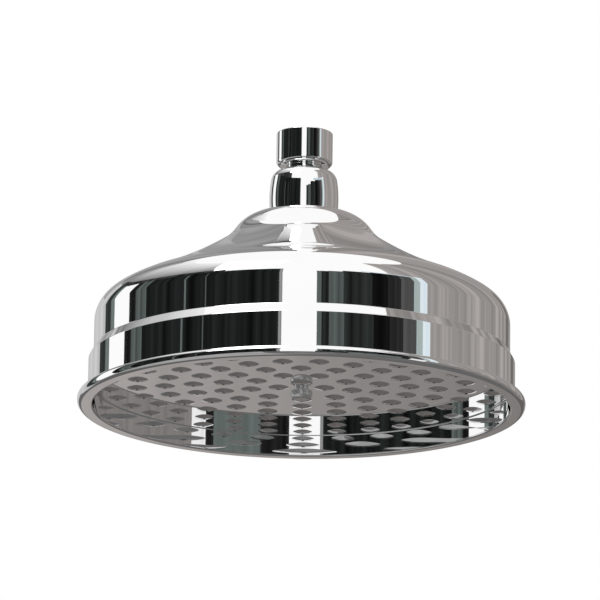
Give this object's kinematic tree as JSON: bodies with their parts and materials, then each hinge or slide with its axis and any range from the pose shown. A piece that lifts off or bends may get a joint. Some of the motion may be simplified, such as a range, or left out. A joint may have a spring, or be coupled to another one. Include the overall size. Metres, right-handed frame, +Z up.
{
  "type": "fixed shower head",
  "caption": "Round bell-shaped shower head with an embossed spray face recessed in its rim, hung from a threaded round inlet collar by a swivel ball joint.",
  "frame": {"origin": "centre of the inlet's mouth, on the axis of the collar's thread", "axes": "+Z up along the axis of the inlet and the bell, out of the mouth; the spray face looks to -Z; the picture's camera stands on the -Y side"},
  "size_m": [0.205, 0.205, 0.131],
  "materials": {
    "chrome": "polished mirror plating",
    "brass": "turned, bare",
    "spring_steel": "bright spring steel",
    "black_rubber": "matte moulded rubber",
    "white_plastic": "moulded acetal"
  },
  "bodies": {
    "collar": {"collar_nut": "chrome"},
    "stem": {"ball_stem": "chrome", "split_ring": "spring_steel", "inlet_washer": "black_rubber", "filter_screen": "spring_steel", "flow_regulator": "white_plastic", "regulator_o_ring": "black_rubber"},
    "ball_rings": {"slide_ring": "white_plastic", "ball_seal": "black_rubber"},
    "head": {"ball_nut": "chrome", "boss": "brass", "boss_gasket": "black_rubber", "lock_washer": "brass", "boss_lock_nut": "brass", "bell": "chrome", "centre_pillar": "brass", "face_gasket": "black_rubber", "face_plate": "chrome", "centre_screw": "chrome", "screw_o_ring": "black_rubber"}
  },
  "joints": [
    {"name": "stem_swivel", "type": "hinge", "parent": "collar", "child": "stem", "pos_m": [0, 0, -0.0265], "axis": [0, 0, 1], "continuous": true},
    {"name": "head_tilt", "type": "hinge", "parent": "stem", "child": "ball_rings", "pos_m": [0, 0, -0.0265], "axis": [1, 0, 0], "range_deg": [-10, 10]},
    {"name": "head_swivel", "type": "hinge", "parent": "ball_rings", "child": "head", "pos_m": [0, 0, -0.0265], "axis": [0, 0, 1], "continuous": true}
  ]
}
